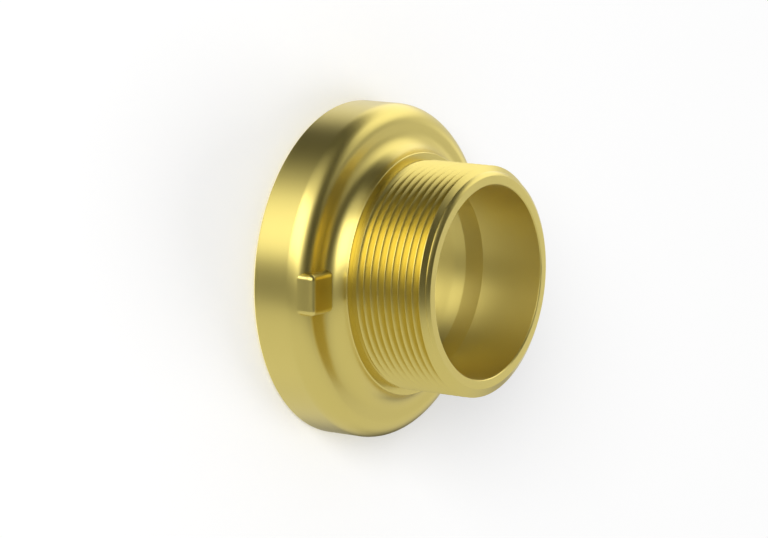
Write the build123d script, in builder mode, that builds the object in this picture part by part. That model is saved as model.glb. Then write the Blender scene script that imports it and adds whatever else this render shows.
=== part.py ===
from build123d import *
import os
from math import ceil, radians, tan

os.makedirs("parts", exist_ok=True)

# Heights along the axis, from the sealing face up to the threaded end
flange_thickness = 17.0
hub_height = 5.9
thread_length = 24.5

# Round sizes of the body
flange_diameter = 96.2
hub_diameter = 69.6
thread_major_diameter = 65.71
outlet_bore_diameter = 55.1
waterway_diameter = 53.4

# Corners and blends of the body
flange_shoulder_radius = 5.5
flange_front_chamfer = 0.8
hub_edge_radius = 0.3
bore_edge_chamfer = 0.3

# Taper between the two bores, measured down from the threaded end
outlet_bore_depth = 19.8
bore_taper_length = 5.4

# Right-hand parallel pipe thread with 11 turns to the inch and its lead-in chamfer
# The crest offset is the height over the hub at which a crest begins on the +X side
thread_pitch = 2.309
thread_depth_per_pitch = 0.6403
thread_flank_angle = 55.0
thread_crest_offset = 0.45
thread_end_chamfer = 2.7
thread_end_chamfer_angle = 30.0

# Plain neck beside the hub, where the thread ends
thread_neck_diameter = 65.1
thread_neck_length = 0.8

# Pair of stop lugs that stand on the back of the flange
lug_count = 2
lug_width = 11.8
lug_outer_radius = 47.2
lug_inner_radius = 36.6
lug_height = 2.6
lug_edge_radius = 1.3

# Undercut seat for the sealing ring, let into the sealing face
seat_depth = 7.0
seat_mouth_chamfer = 0.5
seat_lip_thickness = 4.0
seat_groove_depth = 2.6

# Rubber sealing ring
ring_face_width = 3.9
ring_side_clearance = 0.3
ring_face_setback = 0.4
ring_bore_clearance = 0.6
ring_edge_radius = 0.8

# Heights and radii that follow from the sizes above
hub_face_height = flange_thickness + hub_height
overall_height = hub_face_height + thread_length
flange_radius = flange_diameter / 2
hub_radius = hub_diameter / 2
hub_root_radius = hub_height - hub_edge_radius
thread_radius = thread_major_diameter / 2
outlet_bore_radius = outlet_bore_diameter / 2
waterway_radius = waterway_diameter / 2
end_chamfer_start_height = overall_height - thread_end_chamfer * tan(radians(thread_end_chamfer_angle))
taper_top_height = overall_height - outlet_bore_depth
taper_bottom_height = taper_top_height - bore_taper_length
shoulder_start_height = flange_thickness - flange_shoulder_radius

# The ring sits just outside the waterway, and the seat is cut round the ring
ring_bore_radius = waterway_radius + ring_bore_clearance
ring_stem_radius = ring_bore_radius + ring_face_width
seat_mouth_radius = ring_stem_radius + ring_side_clearance
seat_groove_radius = seat_mouth_radius + seat_groove_depth
ring_foot_radius = seat_groove_radius - ring_side_clearance
ring_foot_bottom = seat_lip_thickness + ring_side_clearance

# Thread form from the lower edge of one crest to the next: crest, flank, root and flank
thread_depth = thread_depth_per_pitch * thread_pitch
thread_root_radius = thread_radius - thread_depth
flank_rise = thread_depth * tan(radians(thread_flank_angle / 2))
crest_rise = thread_pitch / 2 - flank_rise
thread_form = [
    (thread_radius, 0),
    (thread_radius, crest_rise),
    (thread_root_radius, crest_rise + flank_rise),
    (thread_root_radius, 2 * crest_rise + flank_rise),
    (thread_radius, thread_pitch),
]

# The thread starts two turns down inside the hub and runs past the end, where it is cut off
thread_start_height = hub_face_height + thread_crest_offset - 2 * thread_pitch
thread_turns = ceil((overall_height - thread_start_height) / thread_pitch)
thread_stop_height = thread_start_height + thread_turns * thread_pitch


def helix_turn(radius, height):
    """Gives one right-hand turn at this radius that starts at this height over the X axis."""
    return Helix(thread_pitch, thread_pitch, radius, center=(0, 0, height)).edge()


def thread_end_faces(height):
    """Gives the spiral face and the flat face that close the thread at this height."""
    core = Edge.make_line((0, 0, height), (0, 0, height + thread_pitch))
    spiral = Face.make_surface_from_curves(helix_turn(thread_radius, height), core)
    outline = [(radius, 0, height + rise) for radius, rise in thread_form]
    flat = Face(Wire.make_polygon([(0, 0, height), *outline, (0, 0, height + thread_pitch)]))
    return [spiral, flat]


# Threaded end: every turn is four ruled faces, each stretched between two helices
thread_faces = thread_end_faces(thread_start_height) + thread_end_faces(thread_stop_height)
for turn in range(thread_turns):
    turn_height = thread_start_height + turn * thread_pitch
    helices = [helix_turn(radius, turn_height + rise) for radius, rise in thread_form]
    for lower, upper in zip(helices, helices[1:]):
        thread_faces.append(Face.make_surface_from_curves(lower, upper))
thread_solid = Solid(Shell(thread_faces))

# One stop lug, with its foot sunk in the rounded shoulder of the flange
with BuildPart() as stop_lug:
    with BuildSketch(Plane.XY.offset(shoulder_start_height)):
        with Locations((-(lug_outer_radius + lug_inner_radius) / 2, 0)):
            Rectangle(lug_outer_radius - lug_inner_radius, lug_width)
    extrude(amount=flange_shoulder_radius + lug_height)
    fillet(stop_lug.edges().filter_by(Axis.Z), radius=lug_edge_radius)
    fillet(stop_lug.faces().sort_by(Axis.Z)[-1].edges(), radius=lug_edge_radius)

# Body: flange and hub turned in one, with the threaded end, the lugs, the waterway and the seat
with BuildPart() as coupling_body:
    with BuildSketch(Plane.XZ):
        with BuildLine():
            Polyline(
                (0, hub_face_height),
                (0, 0),
                (flange_radius - flange_front_chamfer, 0),
                (flange_radius, flange_front_chamfer),
                (flange_radius, shoulder_start_height),
            )
            RadiusArc(
                (flange_radius, shoulder_start_height),
                (flange_radius - flange_shoulder_radius, flange_thickness),
                -flange_shoulder_radius,
            )
            Line(
                (flange_radius - flange_shoulder_radius, flange_thickness),
                (hub_radius + hub_root_radius, flange_thickness),
            )
            RadiusArc(
                (hub_radius + hub_root_radius, flange_thickness),
                (hub_radius, flange_thickness + hub_root_radius),
                hub_root_radius,
            )
            RadiusArc(
                (hub_radius, hub_face_height - hub_edge_radius),
                (hub_radius - hub_edge_radius, hub_face_height),
                -hub_edge_radius,
            )
            Line((hub_radius - hub_edge_radius, hub_face_height), (0, hub_face_height))
        make_face()
    revolve(axis=Axis.Z)
    add(thread_solid)
    with Locations((0, 0, hub_face_height - hub_height)):
        Cylinder(
            radius=thread_neck_diameter / 2,
            height=hub_height + thread_neck_length,
            align=(Align.CENTER, Align.CENTER, Align.MIN),
        )
    split(bisect_by=Plane.XY.offset(overall_height), keep=Keep.BOTTOM)
    with PolarLocations(0, lug_count):
        add(stop_lug.part)
    with BuildSketch(Plane.XZ):
        with BuildLine():
            Polyline(
                (thread_radius - thread_end_chamfer, overall_height),
                (thread_radius, end_chamfer_start_height),
                (flange_radius, end_chamfer_start_height),
                (flange_radius, overall_height),
                close=True,
            )
        make_face()
    revolve(axis=Axis.Z, mode=Mode.SUBTRACT)
    with BuildSketch(Plane.XZ):
        with BuildLine():
            Polyline(
                (0, 0),
                (seat_mouth_radius + seat_mouth_chamfer, 0),
                (seat_mouth_radius, seat_mouth_chamfer),
                (seat_mouth_radius, seat_lip_thickness),
                (seat_groove_radius, seat_lip_thickness),
                (seat_groove_radius, seat_depth),
                (waterway_radius, seat_depth),
                (waterway_radius, taper_bottom_height),
                (outlet_bore_radius, taper_top_height),
                (outlet_bore_radius, overall_height - bore_edge_chamfer),
                (outlet_bore_radius + bore_edge_chamfer, overall_height),
                (0, overall_height),
                close=True,
            )
        make_face()
    revolve(axis=Axis.Z, mode=Mode.SUBTRACT)

# Sealing ring, with a foot that the undercut of the seat holds
with BuildPart() as sealing_ring:
    with BuildSketch(Plane.XZ):
        with BuildLine():
            Polyline(
                (ring_bore_radius, ring_face_setback),
                (ring_stem_radius, ring_face_setback),
                (ring_stem_radius, ring_foot_bottom),
                (ring_foot_radius, ring_foot_bottom),
                (ring_foot_radius, seat_depth),
                (ring_bore_radius, seat_depth),
                close=True,
            )
        make_face()
    revolve(axis=Axis.Z)
    fillet(sealing_ring.faces().sort_by(Axis.Z)[0].edges(), radius=ring_edge_radius)

coupling_body.part.label = "coupling_body"
sealing_ring.part.label = "sealing_ring"
export_step(coupling_body.part, "parts/coupling_body.step")
export_step(sealing_ring.part, "parts/sealing_ring.step")
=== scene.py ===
import math

import bmesh
import bpy
import numpy as np
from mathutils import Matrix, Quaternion, Vector


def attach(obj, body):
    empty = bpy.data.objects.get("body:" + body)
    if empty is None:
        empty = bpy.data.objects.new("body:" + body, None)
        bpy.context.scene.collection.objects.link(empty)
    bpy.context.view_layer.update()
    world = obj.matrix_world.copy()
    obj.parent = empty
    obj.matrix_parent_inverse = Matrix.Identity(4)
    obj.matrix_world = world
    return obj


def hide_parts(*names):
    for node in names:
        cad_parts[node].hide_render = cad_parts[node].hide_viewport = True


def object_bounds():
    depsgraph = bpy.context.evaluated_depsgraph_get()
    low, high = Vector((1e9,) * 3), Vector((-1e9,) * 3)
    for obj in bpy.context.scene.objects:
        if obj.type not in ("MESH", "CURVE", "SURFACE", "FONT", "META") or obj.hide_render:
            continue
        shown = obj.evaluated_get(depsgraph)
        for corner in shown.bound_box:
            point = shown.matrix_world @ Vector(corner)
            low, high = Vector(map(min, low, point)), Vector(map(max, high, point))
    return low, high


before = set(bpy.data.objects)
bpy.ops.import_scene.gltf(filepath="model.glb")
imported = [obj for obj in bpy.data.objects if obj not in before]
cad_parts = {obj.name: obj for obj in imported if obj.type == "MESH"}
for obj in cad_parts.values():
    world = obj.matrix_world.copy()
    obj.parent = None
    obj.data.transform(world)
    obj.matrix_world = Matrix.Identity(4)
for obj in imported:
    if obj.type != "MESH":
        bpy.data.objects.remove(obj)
cad_low, cad_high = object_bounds()

bl_info = {
    "name": "Pressure Hose Coupling",
    "version": (1, 0, 0),
    "blender": (4, 5, 0),
    "location": "3D Viewport > Sidebar > Coupling",
    "description": "Builds a satin brass hose coupling with its sealing ring on a plain pale floor",
    "category": "Object",
}

MM = 0.001
ROOT_BODY = "root"


def length(name, description, default):
    """Gives a property that holds a length in metres."""
    return bpy.props.FloatProperty(
        name=name, description=description, default=default, min=0.0, precision=5,
        unit="LENGTH", subtype="DISTANCE",
    )


def angle(name, description, degrees):
    """Gives a property that holds an angle, whose default is given in degrees."""
    return bpy.props.FloatProperty(
        name=name, description=description, default=math.radians(degrees),
        unit="ROTATION", subtype="ANGLE",
    )


def share(name, description, default):
    """Gives a property that holds a number from 0 to 1."""
    return bpy.props.FloatProperty(
        name=name, description=description, default=default, min=0.0, max=1.0, subtype="FACTOR",
    )


def amount(name, description, default, unit="NONE"):
    """Gives a property that holds a plain number, or one of this unit."""
    return bpy.props.FloatProperty(name=name, description=description, default=default, unit=unit)


def colour(name, description, default):
    """Gives a property that holds a linear colour."""
    return bpy.props.FloatVectorProperty(
        name=name, description=description, default=default, size=3, min=0.0, max=1.0,
        subtype="COLOR",
    )


class CouplingBodySizes(bpy.types.PropertyGroup):
    """Sizes of the turned brass body."""

    overall: length("Overall height", "Height from sealing face to threaded end", cad_high.z)
    flange_radius: length("Flange radius", "Outside radius of the flange", 48.08 * MM)
    flange_thickness: length("Flange thickness", "Height of the flange's back", 17.0 * MM)
    shoulder: length("Shoulder radius", "Rounding between rim and flange's back", 5.5 * MM)
    front_chamfer: length("Front chamfer", "Chamfer between rim and sealing face", 0.8 * MM)
    hub_radius: length("Hub radius", "Outside radius of the hub", 34.8 * MM)
    hub_height: length("Hub height", "Height of the hub over the flange's back", 5.9 * MM)
    hub_root: length("Hub root radius", "Hollow rounding at the foot of the hub", 5.6 * MM)
    hub_edge: length("Hub edge radius", "Rounding at the hub's upper edge", 0.3 * MM)
    outlet_radius: length("Outlet bore radius", "Radius of the wider bore", 27.55 * MM)
    outlet_depth: length("Outlet bore depth", "Depth of the wider bore", 19.8 * MM)
    taper: length("Bore taper", "Length of the taper between the two bores", 5.4 * MM)
    waterway_radius: length("Waterway radius", "Radius of the narrower bore", 26.7 * MM)
    bore_chamfer: length("Bore chamfer", "Chamfer at the mouth of the wider bore", 0.3 * MM)
    edge: length("Broken edge", "Rounding of every small machined edge", 0.12 * MM)


class ThreadSizes(bpy.types.PropertyGroup):
    """Sizes of the male pipe thread."""

    radius: length("Thread radius", "Outside radius of the thread", 32.855 * MM)
    pitch: length("Pitch", "Height from one crest to the next", 2.309 * MM)
    depth: length("Depth", "Depth of the thread from crest to root", 1.65 * MM)
    half_angle: angle("Half angle", "Angle of each flank to a plane across the axis", 33.0)
    crest_width: length("Crest width", "Width of a crest between its two flanks", 0.06 * MM)
    crest_rounding: length("Crest rounding", "Radius at the edges of the crests", 0.05 * MM)
    root_rounding: length("Root rounding", "Radius at the edges of the roots", 0.05 * MM)
    crest_height: length("Crest height", "Height over the hub of a crest on the X axis", 0.59 * MM)
    neck: length("Neck", "Length of the plain neck beside the hub", 0.8 * MM)
    neck_depth: length("Neck depth", "Depth of the neck under the crests", 0.3 * MM)
    run_out: length("Run-out", "Length over which the thread deepens from the neck", 1.2 * MM)
    end_chamfer: length("End chamfer", "Width of the lead-in chamfer", 2.7 * MM)
    end_slope: angle("End chamfer angle", "Angle of the chamfer to a plane across the axis", 30.0)


class LugSizes(bpy.types.PropertyGroup):
    """Sizes of the two stop lugs on the back of the flange."""

    count: bpy.props.IntProperty(
        name="Lugs", description="Number of stop lugs", default=2, min=0, max=4,
    )
    width: length("Width", "Width of a lug along the rim", 11.8 * MM)
    outer: length("Outer radius", "Distance of a lug's outer face from the axis", 46.9 * MM)
    inner: length("Inner radius", "Distance of a lug's inner face from the axis", 36.3 * MM)
    height: length("Height", "Height of a lug over the flange's back", 2.75 * MM)
    edge: length("Edge radius", "Rounding of a lug's edges", 1.6 * MM)


class SealSizes(bpy.types.PropertyGroup):
    """Sizes of the undercut seat and of the rubber ring in it."""

    seat_depth: length("Seat depth", "Depth of the seat in the sealing face", 7.0 * MM)
    mouth_radius: length("Mouth radius", "Radius of the seat's mouth", 31.5 * MM)
    mouth_chamfer: length("Mouth chamfer", "Chamfer at the seat's mouth", 0.5 * MM)
    lip: length("Lip thickness", "Thickness of the lip over the undercut", 4.0 * MM)
    undercut: length("Undercut", "Depth of the undercut behind the lip", 2.6 * MM)
    clearance: length("Side clearance", "Gap between the ring and the seat", 0.3 * MM)
    setback: length("Setback", "Depth of the ring's face under the sealing face", 0.4 * MM)
    bore_clearance: length("Bore clearance", "Gap between waterway and ring's bore", 0.6 * MM)
    edge: length("Edge radius", "Rounding of the ring's two front edges", 0.8 * MM)
    back_edge: length("Back edge radius", "Rounding of the ring's other edges", 0.25 * MM)


class CouplingFinish(bpy.types.PropertyGroup):
    """Colours and gloss of the two materials."""

    brass: colour("Brass", "Colour of the brass", (0.689, 0.573, 0.171))
    brass_deep: colour("Brass, deeper", "Colour of its darker patches", (0.671, 0.555, 0.161))
    brass_roughness: share("Brass roughness", "Roughness of the satin brass", 0.30)
    bore_roughness: share("Bore roughness", "Roughness of the brass inside the bores", 0.42)
    back_roughness: share("Back roughness", "Roughness of the flat on the flange's back", 0.36)
    brass_grain: length("Brass grain", "Size of the blasted grain", 0.25 * MM)
    rubber: colour("Rubber", "Colour of the sealing ring", (0.022, 0.022, 0.024))
    rubber_roughness: share("Rubber roughness", "Roughness of the sealing ring", 0.62)


class StageSettings(bpy.types.PropertyGroup):
    """Camera, floor and light."""

    azimuth: angle("Azimuth", "Bearing of the camera, 0 looking along +Y", -101.703)
    elevation: angle("Elevation", "Height of the camera over the horizon", 33.630)
    roll: angle("Roll", "Turn of the camera about its own line of sight", 96.666)
    distance: length("Distance", "Distance from the camera to its target", 0.99652)
    target: bpy.props.FloatVectorProperty(
        name="Target", description="Point that the camera looks at",
        default=(-0.00543, 0.00147, 0.01525), size=3, subtype="XYZ", unit="LENGTH",
    )
    lens: amount("Lens", "Focal length in mm on a 36 mm frame", 164.06, "CAMERA")
    floor: colour("Floor", "Colour of the floor", (0.86, 0.86, 0.86))
    ambient: amount("Ambient", "Strength of the even light", 0.55)
    mirrored: amount("Mirrored", "Strength of the light that gloss mirrors", 0.82)
    lamp_power: amount("Lamp power", "Mean power of the two soft lamps", 44.0, "POWER")


SETTINGS = {
    "coupling_body": CouplingBodySizes,
    "coupling_thread": ThreadSizes,
    "coupling_lugs": LugSizes,
    "coupling_seal": SealSizes,
    "coupling_finish": CouplingFinish,
    "coupling_stage": StageSettings,
}

# Fineness of the meshes
COLUMNS = 256
ARC_STEPS_PER_QUARTER = 3
ARC_STEPS_PER_MM = 2
THREAD_ARC_POINTS = 4
LUG_ARC_STEPS = 6
CARD_POINTS = 48
FLOOR_CORNERS = 96
MERGE_DISTANCE = 0.004 * MM
SHARP_ANGLE = math.radians(40)

# Distance from the end of an arc, and shares of a thread's flank, where one more point keeps the
# shading of a straight stretch flat
HOLD = 0.12 * MM
FLANK_HOLDS = (0.06, 0.94)

# Difference of radius over which the thread and its lead-in chamfer run into each other
CHAMFER_BLEND = 0.1 * MM

# Distance from the axis inside which the brass is as rough as the bores
BORE_EDGE = 27.7 * MM

# Heights and distances from the axis between which the brass turns as rough as the flange's back
BACK_HEIGHTS = (18.6 * MM, 17.2 * MM)
BACK_DISTANCES = (44.0 * MM, 42.2 * MM)

# Cells of each noise in a metre, and those of the turning marks in a radian round the axis
PATCH_CELLS = 55.0
MARK_CELLS = 2200.0
MARK_CELLS_ROUND = 1.5
RUBBER_GRAIN_CELLS = 3500.0
DUST_CELLS = 260.0

# What a noise adds to the roughness from its lowest to its highest
BRASS_UNEVENNESS = 0.05
DUST_UNEVENNESS = 0.12

# Strength and height of the relief
BRASS_RELIEF = (0.05, 0.01 * MM)
RUBBER_RELIEF = (0.15, 0.02 * MM)

# Brightness of the rubber between the dust, as a share of its colour
RUBBER_DARK = 0.8


def smooth_step(shares):
    """Gives shares held between 0 and 1 and eased: their square times 3 less twice the share."""
    held = np.clip(shares, 0, 1)
    return held * held * (3 - 2 * held)


def smooth_least(first, second, blend):
    """Gives the lesser of two arrays, rounded off where they cross within the blend.

    The first has a weight of a half plus half its distance below the second over the blend, held
    between 0 and 1, and the second has the rest. The blend times both weights is taken off.
    """
    near = np.clip(0.5 + 0.5 * (second - first) / blend, 0, 1)
    return second * (1 - near) + first * near - blend * near * (1 - near)


def softened(corners, before, after):
    """Gives the radii and heights of an outline whose corners are rounded.

    corners holds (radius, height, rounding). before and after are the plain points next to them.
    Each corner becomes an arc between its two tangent points, which lie rounding times the tangent
    of half the turn away from it. One more point, at most a quarter of what is spare beyond each
    end, keeps the shading of the straight runs flat. A point of the arc lies from its centre by the
    ways to the two tangent points, each times the sine of the turn between the point and the other
    one, over the sine of the whole turn.
    """
    points = np.array([before[:2], *[corner[:2] for corner in corners], after[:2]], float)
    steps = np.diff(points, axis=0)
    runs = np.hypot(*steps.T)
    ways = steps / runs[:, None]
    turns = np.arccos(np.clip(np.sum(ways[:-1] * ways[1:], axis=1), -1, 1))
    roundings = np.array([corner[2] for corner in corners])
    steps_per_quarter = ARC_STEPS_PER_QUARTER + ARC_STEPS_PER_MM * roundings / MM
    counts = np.ceil(turns / (math.pi / 2) * steps_per_quarter).astype(int)
    reaches = roundings * np.tan(turns / 2)
    spare = runs - np.append(reaches, 0) - np.insert(reaches, 0, 0)
    if spare.min() < -MERGE_DISTANCE:
        raise ValueError("two roundings of an outline overlap")
    holds = np.clip(spare / 4, 0, HOLD)
    rows = []
    for place, rounding, turn, reach, count, inward, outward, hold_in, hold_out in zip(
        points[1:], roundings, turns, reaches, counts, ways, ways[1:], holds, holds[1:]
    ):
        start = place - inward * reach
        end = place + outward * reach
        bisector = (outward - inward) / np.hypot(*(outward - inward))
        centre = place + bisector * rounding / math.cos(turn / 2)
        shares = np.linspace(0, 1, count + 1)[:, None]
        start_part = np.sin((1 - shares) * turn) * (start - centre)
        end_part = np.sin(shares * turn) * (end - centre)
        arc = centre + (start_part + end_part) / math.sin(turn)
        rows += [start - inward * hold_in, *arc, end + outward * hold_out]
    outline = np.array(rows)
    return outline[:, 0], outline[:, 1]


def grid_mesh(name, points, closed=True, reverse=False):
    """Gives a mesh of quads over a grid of points, with the points that fall together merged.

    A quad goes from a point to the next row, to its neighbour there and back to its own neighbour.
    A closed grid also joins the last point of a row to its first, and reverse turns the quads over.
    """
    rows, along = points.shape[:2]
    spots = np.arange(along if closed else along - 1)
    row, spot = np.meshgrid(np.arange(rows - 1), spots, indexing="ij")
    beside = (spot + 1) % along
    own, following = row * along, (row + 1) * along
    corners = [own + spot, following + spot, following + beside, own + beside]
    if reverse:
        corners = [corners[0], *corners[:0:-1]]
    quads = np.stack(corners, axis=-1)
    mesh = bpy.data.meshes.new(name)
    mesh.from_pydata(points.reshape(-1, 3).tolist(), [], quads.reshape(-1, 4).tolist())
    work = bmesh.new()
    work.from_mesh(mesh)
    bmesh.ops.remove_doubles(work, verts=work.verts, dist=MERGE_DISTANCE)
    work.to_mesh(mesh)
    work.free()
    mesh.update()
    return mesh


def turned_mesh(name, radii, heights, bearings):
    """Gives a closed turned mesh from radii and heights, with one row of them for each bearing.

    The outline runs outwards below, upwards outside, inwards above and downwards inside, and it
    closes on itself. A point's place is its radius times the cosine and the sine of its bearing,
    and its height. The last row lies on the first.
    """
    x, y = radii * np.cos(bearings), radii * np.sin(bearings)
    return grid_mesh(name, np.stack(np.broadcast_arrays(x, y, heights), axis=-1))


def shade(mesh):
    """Shades a mesh smooth, apart from the edges that turn more than the sharp angle."""
    mesh.polygons.foreach_set("use_smooth", np.ones(len(mesh.polygons), bool))
    mesh.set_sharp_from_angle(angle=SHARP_ANGLE)


def add_object(name, data):
    """Adds a mesh, lamp or camera to the scene as an object at the origin."""
    piece = bpy.data.objects.new(name, data)
    bpy.context.scene.collection.objects.link(piece)
    return piece


def thread_form(thread):
    """Gives the heights and depths of one pitch of the thread, from mid-crest to mid-crest.

    The crest and the root are flats with a small arc at each side. The flank between them rises by
    its depth times the tangent of the half angle, and a point close to each of its ends keeps its
    shading flat. The root takes up what the rest leaves of the pitch.
    """
    turn = math.pi / 2 - thread.half_angle
    turns = np.linspace(0, turn, THREAD_ARC_POINTS)
    crest_edge = thread.crest_width / 2
    root_edge = crest_edge + thread.depth * math.tan(thread.half_angle)

    def arc(edge, level, rounding):
        """Gives the arc at an edge of a flat at this level. Its rounding is negative in a root."""
        start = edge - rounding * math.tan(turn / 2)
        return start + rounding * np.sin(turns), level + rounding * (1 - np.cos(turns))

    crest_rise, crest_fall = arc(crest_edge, 0, thread.crest_rounding)
    root_rise, root_fall = arc(root_edge, thread.depth, -thread.root_rounding)
    shares = np.array(FLANK_HOLDS)
    flank_rise = crest_rise[-1] + shares * (root_rise[-1] - crest_rise[-1])
    flank_fall = crest_fall[-1] + shares * (root_fall[-1] - crest_fall[-1])
    rise = np.concatenate([crest_rise, flank_rise, root_rise[::-1]])
    fall = np.concatenate([crest_fall, flank_fall, root_fall[::-1]])
    return np.concatenate([rise, thread.pitch - rise[::-1]]), np.concatenate([fall, fall[::-1]])


def chamfer_start(body, thread):
    """Gives the height at which the lead-in chamfer leaves the outside of the thread."""
    return body.overall - thread.end_chamfer * math.tan(thread.end_slope)


def threaded_rows(body, thread, bearings, low, high):
    """Gives the radii and heights of the threaded stretch between two heights, for each bearing.

    The rows follow the helix: a row climbs one pitch in a full turn. They start two turns below the
    first crest, and those outside the stretch are laid on its ends. Over the run-out the depth
    grows from the neck's to the thread's along a smooth step. The lead-in chamfer is a cone, and
    the surface is the lesser of the thread and it.
    """
    form_heights, form_depths = thread_form(thread)
    first_crest = low + thread.crest_height
    turns = np.arange(-2, math.ceil((high - low) / thread.pitch) + 1)
    rows = (turns[:, None] * thread.pitch + form_heights).ravel()
    climb = thread.pitch * bearings / (2 * math.pi)
    heights = np.clip(first_crest + rows + climb, low, high)
    rises = heights - first_crest - climb
    depths = np.interp(rises, form_heights, form_depths, period=thread.pitch)
    cut = smooth_step((heights - low - thread.neck) / thread.run_out)
    depths = thread.neck_depth * (1 - cut) + depths * cut
    cone = thread.radius - (heights - chamfer_start(body, thread)) / math.tan(thread.end_slope)
    return smooth_least(thread.radius - depths, cone, CHAMFER_BLEND), heights


def body_outline(body, thread, seal):
    """Gives the body's corners below and beside the thread, and those above and inside it.

    A corner is (radius, height, rounding). The rim's and the taper's small edges are twice as round
    as the others.
    """
    hub_face = body.flange_thickness + body.hub_height
    groove = seal.mouth_radius + seal.undercut
    taper_top = body.overall - body.outlet_depth
    edge = body.edge
    outside = [
        (seal.mouth_radius + seal.mouth_chamfer, 0, edge),
        (body.flange_radius - body.front_chamfer, 0, 2 * edge),
        (body.flange_radius, body.front_chamfer, 2 * edge),
        (body.flange_radius, body.flange_thickness, body.shoulder),
        (body.hub_radius, body.flange_thickness, body.hub_root),
        (body.hub_radius, hub_face, body.hub_edge),
    ]
    inside = [
        (thread.radius - thread.end_chamfer, body.overall, edge),
        (body.outlet_radius + body.bore_chamfer, body.overall, edge),
        (body.outlet_radius, body.overall - body.bore_chamfer, edge),
        (body.outlet_radius, taper_top, 2 * edge),
        (body.waterway_radius, taper_top - body.taper, 2 * edge),
        (body.waterway_radius, seal.seat_depth, edge),
        (groove, seal.seat_depth, edge),
        (groove, seal.lip, edge),
        (seal.mouth_radius, seal.lip, edge),
        (seal.mouth_radius, seal.mouth_chamfer, edge),
    ]
    return outside, inside


def lug_mesh(lugs, body, bearing):
    """Gives one stop lug as a closed block with rounded edges, at this bearing round the axis.

    A ring of points is four quarter turns about the corners of the block's core, with one more
    point along the flats at each end of a quarter. The rings shrink over the top edge as a quarter
    of a circle, and once more by a little, which keeps the shading of the top flat. They close in
    the middle above and below. Each point is then turned round the axis: along X and Y by the
    cosine and the sine of the bearing.
    """
    foot = body.flange_thickness - body.shoulder
    top = body.flange_thickness + lugs.height
    edge_foot = top - lugs.edge
    half = np.array([(lugs.outer - lugs.inner) / 2, lugs.width / 2]) - lugs.edge
    quarter = np.linspace(0, math.pi / 2, LUG_ARC_STEPS + 1)
    local = np.concatenate([[0.0], quarter, [math.pi / 2]])
    turns = (np.arange(4)[:, None] * math.pi / 2 + local).ravel()
    slides = np.tile(np.concatenate([[-HOLD], np.zeros(LUG_ARC_STEPS + 1), [HOLD]]), 4)
    corners = np.repeat([[1, 1], [-1, 1], [-1, -1], [1, -1]], len(local), axis=0)
    away = np.stack([np.cos(turns), np.sin(turns)], axis=-1)
    along = np.stack([-np.sin(turns), np.cos(turns)], axis=-1)
    drop = np.linspace(math.pi / 2, 0, LUG_ARC_STEPS + 1)
    reach = np.concatenate([[0.0], lugs.edge * np.cos(drop), [lugs.edge, lugs.edge]])
    inset = np.concatenate([[HOLD], np.zeros(LUG_ARC_STEPS + 3)])
    level = np.concatenate([[top], edge_foot + lugs.edge * np.sin(drop), [edge_foot - HOLD, foot]])
    cores = corners * half - inset[:, None, None] * corners
    flat = cores + reach[:, None, None] * away + slides[:, None] * along
    rings = np.concatenate([flat, np.repeat(level[:, None, None], len(turns), axis=1)], axis=-1)
    middle_top, middle_foot = (
        np.tile([0.0, 0.0, height], (1, len(turns), 1)) for height in (top, foot)
    )
    rings = np.concatenate([middle_top, rings, middle_foot])[::-1]
    x, y, z = rings[..., 0] + (lugs.outer + lugs.inner) / 2, rings[..., 1], rings[..., 2]
    cosine, sine = math.cos(bearing), math.sin(bearing)
    points = np.stack([x * cosine - y * sine, x * sine + y * cosine, z], axis=-1)
    return grid_mesh("stop_lug", points, reverse=True)


def united(name, base, parts):
    """Gives the union of a base mesh and its parts as one mesh."""
    whole = add_object(name, base)
    helpers = [add_object(part.name, part) for part in parts]
    for helper in helpers:
        union = whole.modifiers.new("union", "BOOLEAN")
        union.operation = "UNION"
        union.solver = "EXACT"
        union.object = helper
    depsgraph = bpy.context.evaluated_depsgraph_get()
    evaluated = whole.evaluated_get(depsgraph)
    result = bpy.data.meshes.new_from_object(evaluated, depsgraph=depsgraph)
    for helper in (whole, *helpers):
        bpy.data.objects.remove(helper)
    return result


class Link:
    """An output of a node. Each operator on links and numbers adds its Math node."""

    def __init__(self, graph, socket):
        self.graph = graph
        self.socket = socket

    def math(self, operation, first, second):
        return self.graph.add("ShaderNodeMath", {"operation": operation}, {0: first, 1: second})

    def __add__(self, other):
        return self.math("ADD", self, other)

    def __radd__(self, other):
        return self.math("ADD", other, self)

    def __sub__(self, other):
        return self.math("SUBTRACT", self, other)

    def __rsub__(self, other):
        return self.math("SUBTRACT", other, self)

    def __mul__(self, other):
        return self.math("MULTIPLY", self, other)

    def __rmul__(self, other):
        return self.math("MULTIPLY", other, self)

    def __pow__(self, other):
        return self.math("POWER", self, other)

    def __rpow__(self, other):
        return self.math("POWER", other, self)


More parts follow.
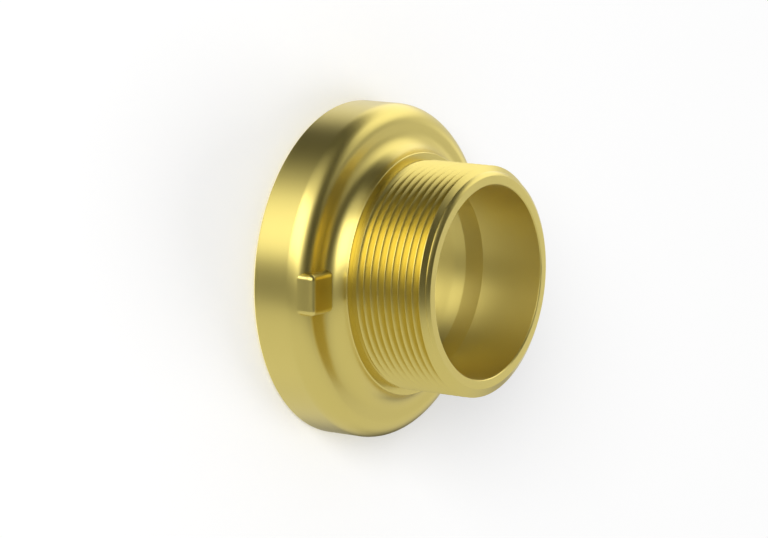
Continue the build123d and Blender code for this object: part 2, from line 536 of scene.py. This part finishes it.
class Graph:
    """The node tree of a material or a world."""

    def __init__(self, owner):
        owner.use_nodes = True
        self.tree = owner.node_tree
        self.tree.nodes.clear()

    def add(self, kind, settings=None, inputs=None, output=0):
        """Adds a node, sets its settings and then its sockets, and gives one of its outputs."""
        node = self.tree.nodes.new(kind)
        for name, value in (settings or {}).items():
            setattr(node, name, value)
        for name, value in (inputs or {}).items():
            if isinstance(value, Link):
                self.tree.links.new(value.socket, node.inputs[name])
            else:
                node.inputs[name].default_value = value
        return Link(self, node.outputs[output]) if len(node.outputs) else None

    def noise(self, place, cells, detail):
        """Gives a noise with this many cells in a metre."""
        inputs = {"Vector": place, "Scale": cells, "Detail": detail}
        return self.add("ShaderNodeTexNoise", None, inputs)

    def blend(self, factor, first, second):
        """Mixes two colours by a factor. A Mix node's colours are its sockets 6 and 7."""
        inputs = {0: factor, 6: first, 7: second}
        return self.add("ShaderNodeMix", {"data_type": "RGBA"}, inputs, 2)

    def step(self, value, none, full):
        """Gives a smooth step from 0 to 1 as a value goes from none to full."""
        inputs = {"Value": value, "From Min": none, "From Max": full}
        return self.add("ShaderNodeMapRange", {"interpolation_type": "SMOOTHSTEP"}, inputs)

    def bump(self, height, strength, distance):
        """Gives the normal of a relief of this strength and height."""
        inputs = {"Strength": strength, "Distance": distance, "Height": height}
        return self.add("ShaderNodeBump", None, inputs)

    def surface(self, shader):
        """Connects a shader to a material's surface."""
        self.add("ShaderNodeOutputMaterial", inputs={"Surface": shader})


def opaque(rgb):
    """Gives a colour with full alpha."""
    return (*rgb, 1.0)


def turned_coordinates(graph):
    """Gives a point's place, its distance from the axis, its height and its bearing in radians."""
    place = graph.add("ShaderNodeTexCoord", output="Object")
    split = graph.add("ShaderNodeSeparateXYZ", inputs={0: place})
    x, y, height = (Link(graph, socket) for socket in split.socket.node.outputs)
    return place, (x * x + y * y) ** 0.5, height, x.math("ARCTAN2", y, x)


def brass_material(finish):
    """Gives satin brass: a fine blasted grain, faint turning marks and a slightly uneven colour.

    The roughness goes from the bores' to the outside's at the bores' edge, and from there to the
    back's over the flat of the flange's back. Grain and marks then make it a little uneven.
    """
    material = bpy.data.materials.new("satin_brass")
    graph = Graph(material)
    place, away, height, bearing = turned_coordinates(graph)
    grain = graph.noise(place, 1 / finish.brass_grain, detail=3.0)
    patches = graph.noise(place, PATCH_CELLS, detail=2.0)
    lathe_inputs = {0: away * MARK_CELLS, 1: height * MARK_CELLS, 2: bearing * MARK_CELLS_ROUND}
    lathe = graph.add("ShaderNodeCombineXYZ", None, lathe_inputs)
    marks = graph.noise(lathe, 1.0, detail=2.0)
    tone = graph.blend(patches, opaque(finish.brass), opaque(finish.brass_deep))
    outside = away.math("GREATER_THAN", away, BORE_EDGE)
    on_back = graph.step(height, *BACK_HEIGHTS) * graph.step(away, *BACK_DISTANCES)
    roughness = finish.bore_roughness + (finish.brass_roughness - finish.bore_roughness) * outside
    roughness = roughness + (finish.back_roughness - finish.brass_roughness) * on_back
    roughness = roughness + (grain - 0.5) * BRASS_UNEVENNESS + (marks - 0.5) * BRASS_UNEVENNESS
    normal = graph.bump(grain * 0.5 + marks * 0.5, *BRASS_RELIEF)
    inputs = {"Base Color": tone, "Metallic": 1.0, "Roughness": roughness, "Normal": normal}
    graph.surface(graph.add("ShaderNodeBsdfPrincipled", None, inputs))
    return material


def rubber_material(finish):
    """Gives matt moulded rubber with a fine dusty grain."""
    material = bpy.data.materials.new("moulded_rubber")
    graph = Graph(material)
    place = graph.add("ShaderNodeTexCoord", output="Object")
    grain = graph.noise(place, RUBBER_GRAIN_CELLS, detail=3.0)
    dust = graph.noise(place, DUST_CELLS, detail=4.0)
    dark = tuple(RUBBER_DARK * channel for channel in finish.rubber)
    tone = graph.blend(dust, opaque(dark), opaque(finish.rubber))
    roughness = finish.rubber_roughness + (dust - 0.5) * DUST_UNEVENNESS
    normal = graph.bump(grain, *RUBBER_RELIEF)
    inputs = {"Base Color": tone, "Roughness": roughness, "Normal": normal}
    graph.surface(graph.add("ShaderNodeBsdfPrincipled", None, inputs))
    return material


def even_bearings():
    """Gives the bearings of a turned mesh's rows, the last of them a full turn after the first."""
    return np.linspace(0, 2 * math.pi, COLUMNS + 1)[:, None]


class COUPLING_OT_body(bpy.types.Operator):
    """Builds the brass body: the turned and threaded form with its two stop lugs"""

    bl_idname = "coupling.body"
    bl_label = "Brass body"

    def execute(self, context):
        scene = context.scene
        body, thread, seal = scene.coupling_body, scene.coupling_thread, scene.coupling_seal
        lugs = scene.coupling_lugs
        bearings = even_bearings()
        hub_face = body.flange_thickness + body.hub_height
        cone_clear = thread.depth + 2 * body.edge
        thread_top = chamfer_start(body, thread) + cone_clear * math.tan(thread.end_slope)
        radii, heights = threaded_rows(body, thread, bearings, hub_face, thread_top)
        below, above = (thread.radius, hub_face), (thread.radius - cone_clear, thread_top)
        outside, inside = body_outline(body, thread, seal)
        outer_radii, outer_heights = softened(outside, inside[-1], below)
        inner_radii, inner_heights = softened(inside, above, outside[0])
        even = np.ones_like(bearings)
        radii = np.concatenate([even * outer_radii, radii, even * inner_radii], axis=1)
        heights = np.concatenate([even * outer_heights, heights, even * inner_heights], axis=1)
        turned = turned_mesh("turned_body", radii, heights, bearings)
        spread = np.arange(lugs.count) * 2 * math.pi / max(lugs.count, 1)
        blocks = [lug_mesh(lugs, body, math.pi + turn) for turn in spread]
        mesh = united("body_work", turned, blocks)
        mesh.name = "brass_body"
        mesh.materials.append(brass_material(scene.coupling_finish))
        shade(mesh)
        piece = add_object("brass_body", mesh)
        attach(piece, ROOT_BODY)
        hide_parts("coupling_body")
        return {"FINISHED"}


class COUPLING_OT_seal(bpy.types.Operator):
    """Builds the rubber sealing ring with its foot in the undercut of the seat"""

    bl_idname = "coupling.seal"
    bl_label = "Sealing ring"

    def execute(self, context):
        scene = context.scene
        seal = scene.coupling_seal
        bore = scene.coupling_body.waterway_radius + seal.bore_clearance
        stem = seal.mouth_radius - seal.clearance
        foot = seal.mouth_radius + seal.undercut - seal.clearance
        foot_bottom = seal.lip + seal.clearance
        corners = [
            (bore, seal.setback, seal.edge),
            (stem, seal.setback, seal.edge),
            (stem, foot_bottom, seal.back_edge),
            (foot, foot_bottom, seal.back_edge),
            (foot, seal.seat_depth, seal.back_edge),
            (bore, seal.seat_depth, seal.back_edge),
        ]
        radii, heights = softened(corners, corners[-1], corners[0])
        mesh = turned_mesh("rubber_ring", radii, heights, even_bearings())
        mesh.materials.append(rubber_material(scene.coupling_finish))
        shade(mesh)
        piece = add_object("rubber_ring", mesh)
        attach(piece, ROOT_BODY)
        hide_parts("sealing_ring")
        return {"FINISHED"}


# Light cards round the camera, in degrees: bearing of the middle from the camera towards the left,
# its rise over the level, roll, half width, half height, soft edges at the right, left, low and
# high side, and then the brightness and the distance in metres
LIGHT_CARDS = {
    "ceiling_card": (112, 75, 17, 40, 45, (35, 26, 14, 12), 0.066, 4.2),
    "low_card": (1, -17, -1, 122, 15, (31, 20, 6, 2), 0.221, 4.0),
    "room_card": (-54, 26, 4, 40, 49, (35, 28, 9, 3), 0.057, 3.6),
    "right_card": (-128, 1, 0, 17, 14, (8, 10, 12, 12), 1.393, 3.4),
    "left_card": (130, -1, 32, 40, 34, (12, 12, 12, 12), 1.516, 3.4),
    "side_light_card": (24, 19, 14, 44, 23, (20, 8, 14, 2), 3.033, 3.0),
    "back_light_card": (226, 45, -12, 48, 22, (27, 19, 8, 14), 1.639, 3.2),
    # A painted shadow: this dim card, seen only in the gloss, stands in for the object's own shadow
    # on a floor beneath it
    "painted_floor_shadow_card": (199, -33, -10, 30, 22, (9, 45, 30, 6), 0.041, 2.8),
}


def camera_turn(stage):
    """Gives the camera's rotation: its bearing and elevation, and then its roll."""
    x, y = -math.sin(stage.azimuth), math.cos(stage.azimuth)
    level = math.cos(stage.elevation)
    forward = Vector((x * level, y * level, -math.sin(stage.elevation)))
    return forward.to_track_quat("-Z", "Y") @ Quaternion((0, 0, 1), stage.roll)


def card_material(name, brightness):
    """Gives a card that shines evenly and fades out where its cover attribute falls to 0."""
    material = bpy.data.materials.new(name)
    graph = Graph(material)
    cover = graph.add("ShaderNodeAttribute", {"attribute_name": "cover"}, None, "Fac")
    glow = graph.add("ShaderNodeEmission", None, {"Strength": brightness})
    clear = graph.add("ShaderNodeBsdfTransparent")
    graph.surface(graph.add("ShaderNodeMixShader", None, {0: cover, 1: clear, 2: glow}))
    material.cycles.emission_sampling = "NONE"
    return material


def light_card(
    name, stage, bearing, rise, roll, half_width, half_height, fade, brightness, distance
):
    """Adds a card on a sphere round the object, turned to its bearing and rise and then rolled.

    A point is the middle's way turned left by its width angle and then up by its height angle. Its
    cover attribute rises along a smooth step from 0 to 1 over the soft edge of each side.
    """
    turn, lift, lean = np.radians([bearing, rise, roll])
    middle = np.array([-np.sin(turn) * np.cos(lift), np.sin(lift), np.cos(turn) * np.cos(lift)])
    level_left = np.array([-np.cos(turn), 0, -np.sin(turn)])
    level_up = np.array([np.sin(turn) * np.sin(lift), np.cos(lift), -np.cos(turn) * np.sin(lift)])
    left = level_left * np.cos(lean) + level_up * np.sin(lean)
    up = level_up * np.cos(lean) - level_left * np.sin(lean)
    widths, heights = np.meshgrid(
        np.linspace(-half_width, half_width, CARD_POINTS),
        np.linspace(-half_height, half_height, CARD_POINTS),
        indexing="ij",
    )
    across, along = np.radians(widths)[..., None], np.radians(heights)[..., None]
    ways = np.cos(along) * (np.cos(across) * middle + np.sin(across) * left) + np.sin(along) * up
    points = distance * ways @ np.array(camera_turn(stage).to_matrix()).T
    mesh = grid_mesh(name, points, closed=False, reverse=True)
    edges = [widths + half_width, half_width - widths, heights + half_height, half_height - heights]
    inside = smooth_step(np.min([edge / soft for edge, soft in zip(edges, fade)], axis=0))
    cover = mesh.attributes.new("cover", "FLOAT", "POINT")
    cover.data.foreach_set("value", inside.astype(np.float32).ravel())
    mesh.materials.append(card_material(name, brightness))
    card = add_object(name, mesh)
    card.visible_camera = False
    card.visible_diffuse = False
    card.visible_shadow = False


def seen_shares(graph):
    """Gives 1 for a ray from the camera or a pane, and 1 for one from gloss, and otherwise 0."""
    camera = graph.add("ShaderNodeLightPath", output="Is Camera Ray")
    outputs = camera.socket.node.outputs
    pane = Link(graph, outputs["Is Transmission Ray"])
    return camera.math("MAXIMUM", camera, pane), Link(graph, outputs["Is Glossy Ray"])


class COUPLING_OT_stage(bpy.types.Operator):
    """Builds the camera, the pale floor, the even light, the two soft lamps and the light cards"""

    bl_idname = "coupling.stage"
    bl_label = "Stage"

    sensor_width = 36.0
    floor_radius = 12.0
    floor_drop = 0.2 * MM

    # Strength at which the camera sees the background and the floor, where 1 is white. The floor
    # has a little more, which the lamps' weaker light on its far parts takes up.
    white = 1.0
    floor_white = 1.03

    # Place of each soft lamp in metres and its part of their mean power, and their diameter
    lamps = (((2.2, -0.9, 1.5), 0.5), ((-2.4, 1.1, 1.44), 1.5))
    lamp_size = 1.5

    def execute(self, context):
        scene = context.scene
        stage = scene.coupling_stage
        self.add_camera(scene, stage)
        self.add_world(scene, stage)
        self.add_floor(stage)
        for place, part in self.lamps:
            self.add_lamp(Vector(place), part * stage.lamp_power)
        for name, card in LIGHT_CARDS.items():
            light_card(name, stage, *card)
        scene.view_settings.view_transform = "Standard"
        return {"FINISHED"}

    def add_camera(self, scene, stage):
        """Adds the camera, its distance back from its target along its own line of sight."""
        data = bpy.data.cameras.new("photo_camera")
        data.sensor_width = self.sensor_width
        data.lens = stage.lens
        camera = add_object("photo_camera", data)
        turn = camera_turn(stage)
        camera.rotation_mode = "QUATERNION"
        camera.rotation_quaternion = turn
        camera.location = Vector(stage.target) + turn @ Vector((0, 0, stage.distance))
        scene.camera = camera

    def add_world(self, scene, stage):
        """Adds the even light, which the camera sees as white and gloss as the mirrored light."""
        world = bpy.data.worlds.new("even_light")
        graph = Graph(world)
        plain, mirror = seen_shares(graph)
        strength = stage.ambient + (self.white - stage.ambient) * plain
        strength = strength + (stage.mirrored - stage.ambient) * mirror
        inputs = {"Color": (1, 1, 1, 1), "Strength": strength}
        background = graph.add("ShaderNodeBackground", None, inputs)
        graph.add("ShaderNodeOutputWorld", None, {"Surface": background})
        scene.world = world

    def add_floor(self, stage):
        """Adds the floor, clear from below, whose glow lifts what its light leaves of white.

        The lamps light it under the object by their power over pi squared, times their height over
        the cube of their distance.
        """
        turns = np.linspace(0, 2 * math.pi, FLOOR_CORNERS, endpoint=False)
        points = np.stack([np.cos(turns), np.sin(turns), np.zeros_like(turns)], axis=-1)
        points *= self.floor_radius
        points[:, 2] = -self.floor_drop
        mesh = bpy.data.meshes.new("pale_floor")
        mesh.from_pydata(points.tolist(), [], [list(range(len(turns)))])
        material = bpy.data.materials.new("pale_floor")
        graph = Graph(material)
        pale = graph.add("ShaderNodeBsdfDiffuse", None, {"Color": opaque(stage.floor)})
        falls = (part * place[2] / Vector(place).length ** 3 for place, part in self.lamps)
        lit = (stage.ambient + stage.lamp_power / math.pi**2 * sum(falls)) * stage.floor[0]
        plain, mirror = seen_shares(graph)
        lift = (self.floor_white - lit) * plain.math("MAXIMUM", plain, mirror)
        glow = graph.add("ShaderNodeEmission", None, {"Strength": lift})
        bright = graph.add("ShaderNodeAddShader", None, {0: pale, 1: glow})
        below = graph.add("ShaderNodeNewGeometry", output="Backfacing")
        clear = graph.add("ShaderNodeBsdfTransparent")
        graph.surface(graph.add("ShaderNodeMixShader", None, {0: below, 1: bright, 2: clear}))
        material.cycles.emission_sampling = "NONE"
        mesh.materials.append(material)
        floor = add_object("pale_floor", mesh)
        floor.visible_glossy = False
        floor.visible_diffuse = False
        floor.visible_shadow = False

    def add_lamp(self, place, power):
        """Adds a round soft lamp that shines from its place on the origin."""
        data = bpy.data.lights.new("soft_lamp", "AREA")
        data.shape = "DISK"
        data.size = self.lamp_size
        data.energy = power
        lamp = add_object("soft_lamp", data)
        lamp.location = place
        lamp.rotation_mode = "QUATERNION"
        lamp.rotation_quaternion = (-place).to_track_quat("-Z", "Y")
        lamp.visible_glossy = False


class COUPLING_PT_panel(bpy.types.Panel):
    """Lists the operators that build the coupling"""

    bl_idname = "COUPLING_PT_panel"
    bl_label = "Pressure hose coupling"
    bl_space_type = "VIEW_3D"
    bl_region_type = "UI"
    bl_category = "Coupling"

    def draw(self, context):
        for operator in OPERATORS:
            self.layout.operator(operator.bl_idname)


OPERATORS = (COUPLING_OT_body, COUPLING_OT_seal, COUPLING_OT_stage)
CLASSES = (*SETTINGS.values(), *OPERATORS, COUPLING_PT_panel)


def register():
    for cls in CLASSES:
        bpy.utils.register_class(cls)
    for name, group in SETTINGS.items():
        setattr(bpy.types.Scene, name, bpy.props.PointerProperty(type=group))


def unregister():
    for name in SETTINGS:
        delattr(bpy.types.Scene, name)
    for cls in reversed(CLASSES):
        bpy.utils.unregister_class(cls)


def main():
    register()
    bpy.ops.coupling.body()
    bpy.ops.coupling.seal()
    bpy.ops.coupling.stage()


if __name__ == "__main__":
    main()
